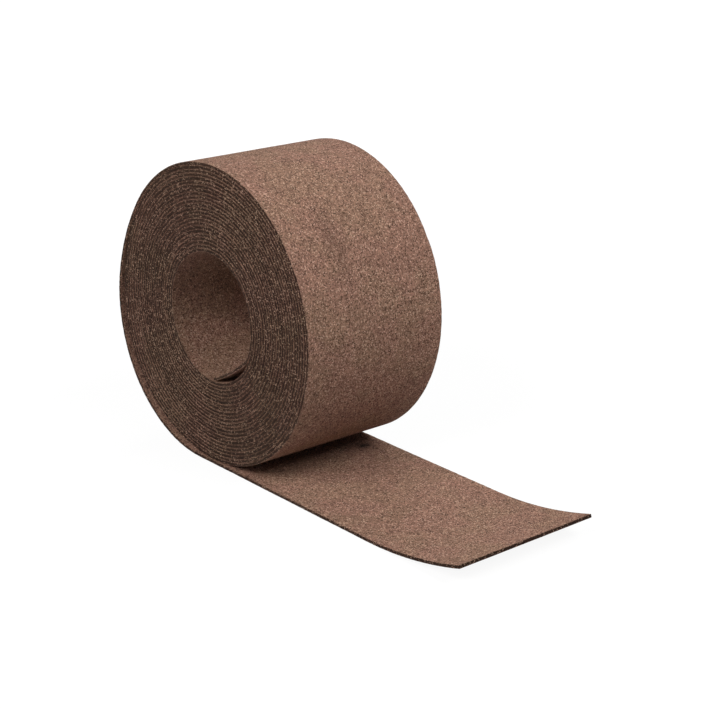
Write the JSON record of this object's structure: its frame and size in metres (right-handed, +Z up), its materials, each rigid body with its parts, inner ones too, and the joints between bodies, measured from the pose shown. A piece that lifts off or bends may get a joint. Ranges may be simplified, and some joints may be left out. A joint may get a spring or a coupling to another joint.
{
  "type": "damp proof course roll",
  "caption": "Part-used roll of sanded bitumen felt strip for damp proofing walls, wound without a core, its loose outer end laid flat and curling up at the tip.",
  "frame": {"origin": "on the floor under the roll's axis, at the middle of the roll's width, on the underside of the tail", "axes": "+X along the loose tail towards its tip, +Y along the roll's axis, +Z up"},
  "size_m": [0.34, 0.1114, 0.2004],
  "materials": {
    "sanded_felt": "matte, sanded"
  },
  "bodies": {
    "root": {"felt_strip": "sanded_felt"}
  },
  "joints": []
}
